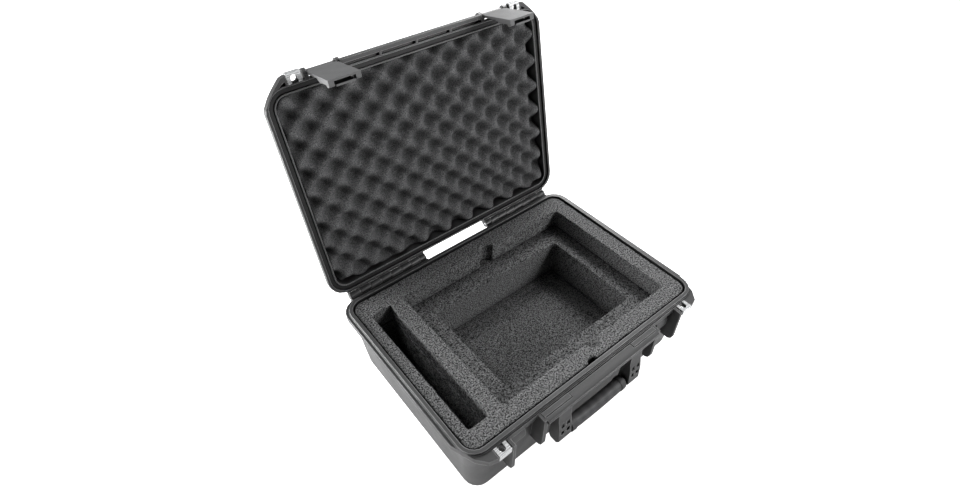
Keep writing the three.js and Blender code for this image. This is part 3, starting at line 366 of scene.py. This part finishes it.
def cut_foam(node, name, seed):
    """Foam layer: the layer's cut form remeshed to an even grid, its skin sunk by noise along its normals."""
    mesh = nodes[node].data.copy()
    mesh.name = name
    form = bmesh.new()
    form.from_mesh(mesh)
    bmesh.ops.remove_doubles(form, verts=form.verts, dist=weld_reach)
    form.to_mesh(mesh)
    form.free()
    mesh.materials.clear()
    thing = bpy.data.objects.new(name, mesh)
    bpy.context.scene.collection.objects.link(thing)
    even = thing.modifiers.new("even", "REMESH")
    even.mode = "VOXEL"
    even.voxel_size = foam_voxel
    even.use_smooth_shade = True
    made = bpy.data.meshes.new_from_object(thing.evaluated_get(bpy.context.evaluated_depsgraph_get()))
    thing.modifiers.clear()
    thing.data = made
    made.name = name
    count = len(made.vertices)
    points = np.empty(count * 3, np.float32)
    normals = np.empty(count * 3, np.float32)
    made.vertices.foreach_get("co", points)
    made.vertex_normals.foreach_get("vector", normals)
    points = points.reshape(-1, 3).astype(float)
    normals = normals.reshape(-1, 3).astype(float)
    lumps = lattice_noise(points, foam_lump, seed)
    swells = lattice_noise(points, foam_swell, seed + 1)
    sink = lumps * foam_lump_share + swells * (1 - foam_lump_share)
    points -= normals * (sink * foam_relief + foam_skin)[:, None]
    if name == "foam_insert_top":
        points = drawn_in(points, *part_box(node)[1])
    made.vertices.foreach_set("co", points.astype(np.float32).ravel())
    made.update()
    return thing


insert_foam = foam_material(
    "insert_foam", foam_dark, foam_light, foam_cells, foam_contrast, foam_bump,
    foam_shade_reach, foam_shade_power,
)
for node, name, seed in (
    ("base_foam_top", "foam_insert_top", 3),
    ("base_foam_middle", "foam_insert_middle", 7),
    ("base_foam_floor", "foam_insert_floor", 11),
):
    layer = cut_foam(node, name, seed)
    layer.data.materials.append(insert_foam)
    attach(layer, "base")
    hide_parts(node)

# The lid is moulded from the same plastic as the base, with a lip that stands inside the base's ridge.
# It turns on the hinge pins and carries the latches, the seal and the foam pad.
dress("lid_shell", shell_plastic)

# A black rubber ring lies in the lid's groove and takes the base's ridge.
# The pressure valve's small seal, between its body and the front wall, is the same rubber.
seal_colour = (0.018, 0.018, 0.018, 1)
seal_rubbed = (0.03, 0.03, 0.03, 1)
seal_roughness = 0.62
seal_edge = 0.0006
seal_grain = 900.0
seal_relief = 0.1
seal_rubber = moulded(
    "seal_rubber", seal_colour, seal_rubbed, seal_roughness, seal_edge, seal_grain, seal_relief
)
dress("lid_seal", seal_rubber)
dress("valve_seal", seal_rubber)

# The lid's pad is soft open cell foam, sliced so that rows of round peaks and pits alternate.
# It is glued by its flat back and stands just short of the lid's rim.
egg_pitch = (0.0511, 0.0462)
egg_turn = math.radians(3.2)
egg_start = (-0.0030, 0.0650)
egg_height = 0.021
egg_pinch = 1.25
egg_half = (0.2346, 0.1620)
egg_corner = 0.0195
egg_draft = 0.0076
egg_front = 0.1372
egg_back = 0.1912
egg_steps = (156, 108)
egg_lump = 0.013
egg_lump_height = 0.0012
egg_seed = 5
pad_dark = (0.056, 0.056, 0.057, 1)
pad_light = (0.24, 0.242, 0.246, 1)
pad_cells = 620.0
pad_contrast = 0.14
pad_bump = 0.6
pad_shade_reach = 0.03
pad_shade_power = 1.3
hinge = [joint for joint in frame["joints"] if joint["name"] == "lid_hinge"][0]
hinge_point = np.array(hinge["pos_m"])
hinge_angle = math.radians(max(hinge["range_deg"]))


def opened(points):
    """Points of the closed lid turned open: a turn about the hinge's axis by the lid's full angle."""
    cosine, sine = math.cos(hinge_angle), math.sin(hinge_angle)
    back, up = points[:, 1] - hinge_point[1], points[:, 2] - hinge_point[2]
    turned_y = hinge_point[1] + back * cosine + up * sine
    turned_z = hinge_point[2] - back * sine + up * cosine
    return np.column_stack([points[:, 0], turned_y, turned_z])


def egg_pad():
    """Foam pad: on an even grid over a round-cornered rectangle, the depth behind the peaks is height times
    (1 - cos u cos v) / 2 to the power egg_pinch, u and v along the turned rows and columns.
    Its half sizes shrink with that depth, by egg_draft at the flat back, as the lid's walls lean inwards."""
    across, along = egg_steps
    u, v = np.meshgrid(np.linspace(-1, 1, across + 1), np.linspace(-1, 1, along + 1), indexing="ij")
    x, y = u * egg_half[0], v * egg_half[1]
    straight_x, straight_y = egg_half[0] - egg_corner, egg_half[1] - egg_corner
    over_x = np.clip((np.abs(x) - straight_x) / egg_corner, 0, 1)
    over_y = np.clip((np.abs(y) - straight_y) / egg_corner, 0, 1)
    in_corner = over_x * over_y > 0
    shrink = np.maximum(over_x, over_y) / np.maximum(np.hypot(over_x, over_y), 1e-9)
    x = np.where(in_corner, np.sign(x) * (straight_x + over_x * shrink * egg_corner), x)
    y = np.where(in_corner, np.sign(y) * (straight_y + over_y * shrink * egg_corner), y)
    from_x, from_y = x - egg_start[0], y - egg_start[1]
    row = from_x * math.cos(egg_turn) + from_y * math.sin(egg_turn)
    column = -from_x * math.sin(egg_turn) + from_y * math.cos(egg_turn)
    wave = np.cos(2 * math.pi * row / egg_pitch[0]) * np.cos(2 * math.pi * column / egg_pitch[1])
    depth = egg_height * ((1 - wave) / 2) ** egg_pinch
    thick = egg_back - egg_front
    front, back = (
        np.stack(
            [
                x * (1 - egg_draft * below / thick / egg_half[0]),
                y * (1 - egg_draft * below / thick / egg_half[1]),
                egg_front + below,
            ],
            -1,
        ).reshape(-1, 3)
        for below in (depth, np.full_like(depth, thick))
    )
    front[:, 2] += (lattice_noise(front, egg_lump, egg_seed) - 0.5) * egg_lump_height
    index = np.arange((across + 1) * (along + 1)).reshape(across + 1, along + 1)
    quads = np.stack([index[:-1, :-1], index[:-1, 1:], index[1:, 1:], index[1:, :-1]], -1).reshape(-1, 4)
    rim = np.concatenate([index[:, 0], index[-1, 1:], index[-2::-1, -1], index[0, -2:0:-1]])
    beyond = np.roll(rim, -1)
    sides = np.stack([rim, rim + index.size, beyond + index.size, beyond], -1)
    faces = np.concatenate([quads, quads[:, ::-1] + index.size, sides[:, ::-1]])
    return mesh_object("egg_foam_pad", opened(np.concatenate([front, back])), faces)


pad_foam = foam_material(
    "pad_foam", pad_dark, pad_light, pad_cells, pad_contrast, pad_bump,
    pad_shade_reach, pad_shade_power,
)
pad = egg_pad()
pad.data.materials.append(pad_foam)
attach(pad, "lid")
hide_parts("lid_foam")

# All the pins, the triggers' springs and the folded padlock plates are plated steel.
# The plates are drawn bright along their fold, and the rest is turned or wound wire.
steel_edge = 0.0005
steel_dull = (0.80, 0.81, 0.82, 1)
steel_bright = (0.94, 0.95, 0.96, 1)
steel_lines = (40.0, 900.0, 900.0)
steel_roughness = 0.28
steel_scratches = 0.08
steel_metal = 0.55


def bright_steel(name, roughness, scratches):
    """Material of plated steel: near white metal with fine drawn lines in its gloss."""
    material = bpy.data.materials.new(name)
    material.use_nodes = True
    tree = material.node_tree
    shader = tree.nodes["Principled BSDF"]
    place = add(tree, "TexCoord")
    stretch = add(tree, "Mapping", {"Vector": place.outputs["Object"], "Scale": steel_lines})
    lines = add(tree, "TexNoise", {"Vector": stretch.outputs[0], "Scale": 1.0, "Detail": 3.0})
    edges = add(tree, "Group", node_tree=edge_tree)
    edges.inputs["Radius"].default_value = steel_edge
    gloss = add(
        tree, "MapRange",
        {
            0: lines.outputs["Fac"], 1: tone_low, 2: tone_high,
            3: roughness - scratches, 4: roughness + scratches,
        },
    )
    tint = add(tree, "Mix", {0: lines.outputs["Fac"], 6: steel_dull, 7: steel_bright}, data_type="RGBA")
    tree.links.new(tint.outputs[2], shader.inputs["Base Color"])
    tree.links.new(gloss.outputs[0], shader.inputs["Roughness"])
    tree.links.new(edges.outputs["Normal"], shader.inputs["Normal"])
    shader.inputs["Metallic"].default_value = steel_metal
    return material


plated_steel = bright_steel("plated_steel", steel_roughness, steel_scratches)
for kind in (
    "hinge_pin", "handle_pin", "lock_plate_base", "lock_plate_lid",
    "latch_pin", "trigger_pin", "trigger_spring",
):
    for side in ("left", "right"):
        dress(f"{kind}_{side}", plated_steel)

# Latches, their triggers and the valve are moulded in the shells' plastic, a little smoother; their grey is
# painted a little lighter than the shells' as painted light, for the stronger light on them. Hands polish the
# latch faces, and their edges wear a little paler.
latch_painted_light_colour = (0.15, 0.151, 0.153, 1)
latch_rubbed = (0.28, 0.282, 0.285, 1)
latch_roughness = 0.42
latch_edge = 0.0007
latch_grain = 1300.0
latch_relief = 0.12
latch_plastic = moulded(
    "latch_plastic", latch_painted_light_colour, latch_rubbed, latch_roughness, latch_edge, latch_grain, latch_relief
)
for name in (
    "latch_left", "latch_right", "latch_trigger_left", "latch_trigger_right",
    "valve_body", "valve_nut",
):
    dress(name, latch_plastic)

# The handle's frame is moulded from the shells' plastic, with two columns of four pockets in each arm.
# It folds on two steel pins under the platform of the base.
dress("handle_frame", shell_plastic)

# The grip is a soft rubber sleeve moulded over the handle's bar, matt, with shallow rings across it.
# Its colour is a little darker across the rings' hollows than across their crests.
grip_colour = (0.068, 0.068, 0.07, 1)
grip_rubbed = (0.15, 0.15, 0.153, 1)
grip_roughness = 0.6
grip_edge = 0.0012
grip_grain = 700.0
grip_relief = 0.25
grip_rings = 17.0
grip_hollow = 0.80
grip_crest = 1.10
grip_rubber = moulded(
    "grip_rubber", grip_colour, grip_rubbed, grip_roughness, grip_edge, grip_grain, grip_relief
)
grip_tree = grip_rubber.node_tree
grip_place = add(grip_tree, "TexCoord")
grip_wave = add(
    grip_tree, "TexWave",
    {"Vector": grip_place.outputs["Object"], "Scale": grip_rings, "Distortion": 0.6, "Detail": 1.0},
    bands_direction="X",
)
grip_tone = add(
    grip_tree, "MapRange",
    {0: grip_wave.outputs["Fac"], 1: 0.0, 2: 1.0, 3: grip_hollow, 4: grip_crest},
)
grip_shader = grip_tree.nodes["Principled BSDF"]
grip_base = grip_shader.inputs["Base Color"].links[0].from_socket
grip_shade = add(
    grip_tree, "Mix",
    {0: 1.0, 6: grip_base, 7: grip_tone.outputs[0]},
    data_type="RGBA", blend_type="MULTIPLY",
)
grip_tree.links.new(grip_shade.outputs[2], grip_shader.inputs["Base Color"])
dress("handle_grip", grip_rubber)

# The case stands on a plain white floor before a white backdrop, as in a catalogue picture.
# Both are washed out white to the camera, and give the case itself only a faint glow.
floor_half = 9.0
floor_colour = (0.88, 0.88, 0.88, 1)
floor_seen = 1.1
floor_spill = 0.12
backdrop_seen = 1.0
backdrop_spill = 0.05
floor_roughness = 0.9
floor_corners = np.array([[-1, -1, 0], [1, -1, 0], [1, 1, 0], [-1, 1, 0]])
floor = mesh_object("floor", floor_corners * floor_half, np.arange(4).reshape(1, 4))
floor_paint = bpy.data.materials.new("floor_paint")
floor_paint.use_nodes = True
floor_tree = floor_paint.node_tree
floor_shader = floor_tree.nodes["Principled BSDF"]
floor_ray = add(floor_tree, "LightPath")
floor_glow = add(
    floor_tree, "MapRange",
    {0: floor_ray.outputs["Is Camera Ray"], 1: 0.0, 2: 1.0, 3: floor_spill, 4: floor_seen},
)
floor_shader.inputs["Base Color"].default_value = floor_colour
floor_shader.inputs["Roughness"].default_value = floor_roughness
floor_shader.inputs["Emission Color"].default_value = (1, 1, 1, 1)
floor_tree.links.new(floor_glow.outputs[0], floor_shader.inputs["Emission Strength"])
floor.data.materials.append(floor_paint)

world = bpy.data.worlds.new("studio")
bpy.context.scene.world = world
world.use_nodes = True
world_ray = add(world.node_tree, "LightPath")
world_glow = add(
    world.node_tree, "MapRange",
    {0: world_ray.outputs["Is Camera Ray"], 1: 0.0, 2: 1.0, 3: backdrop_spill, 4: backdrop_seen},
)
backdrop = world.node_tree.nodes["Background"]
backdrop.inputs["Color"].default_value = (1, 1, 1, 1)
world.node_tree.links.new(world_glow.outputs[0], backdrop.inputs["Strength"])
bpy.context.scene.view_settings.view_transform = "Standard"

# Four soft square lights stand round the case: left, left above, front and right behind.
softbox_side = 0.6


def soft_light(name, place, target, power):
    """Square area light at a place, facing a target and unseen by the camera."""
    data = bpy.data.lights.new(name, "AREA")
    data.size = softbox_side
    data.energy = power
    lamp = bpy.data.objects.new(name, data)
    lamp.location = place
    lamp.rotation_euler = (Vector(target) - Vector(place)).to_track_quat("-Z", "Y").to_euler()
    lamp.visible_camera = False
    bpy.context.scene.collection.objects.link(lamp)


soft_light("left_softbox", (-1.2, 0.75, 0.25), (-0.2, 0, 0.08), 34)
soft_light("left_top", (-0.7, 0.8, 1.3), (0, 0, 0.12), 9)
soft_light("front_softbox", (1.0, -1.3, 1.0), (0, 0, 0.12), 23)
soft_light("right_back", (0.9, 0.8, 1.2), (0, 0, 0.15), 20)

# The camera's place, directions, lens and shift are those fitted to the lines of the case in the photo.
picture_width = 960
camera_shift = (-1.48, 0.07)
camera_place = Vector((-0.4345, -0.43754, 0.84203))
camera_forward = Vector((0.45142, 0.56666, -0.68929))
camera_right = Vector((0.77918, -0.62678, -0.00499))
camera_data = bpy.data.cameras.new("catalogue_camera")
camera_data.sensor_width = 36.0
camera_data.lens = 20.72
camera_data.shift_x = camera_shift[0] / picture_width
camera_data.shift_y = camera_shift[1] / picture_width
camera = bpy.data.objects.new("catalogue_camera", camera_data)
camera_up = camera_right.cross(camera_forward)
camera_axes = zip(camera_right, camera_up, -camera_forward, camera_place)
camera.matrix_world = Matrix([*camera_axes, (0, 0, 0, 1)])
bpy.context.scene.collection.objects.link(camera)
bpy.context.scene.camera = camera
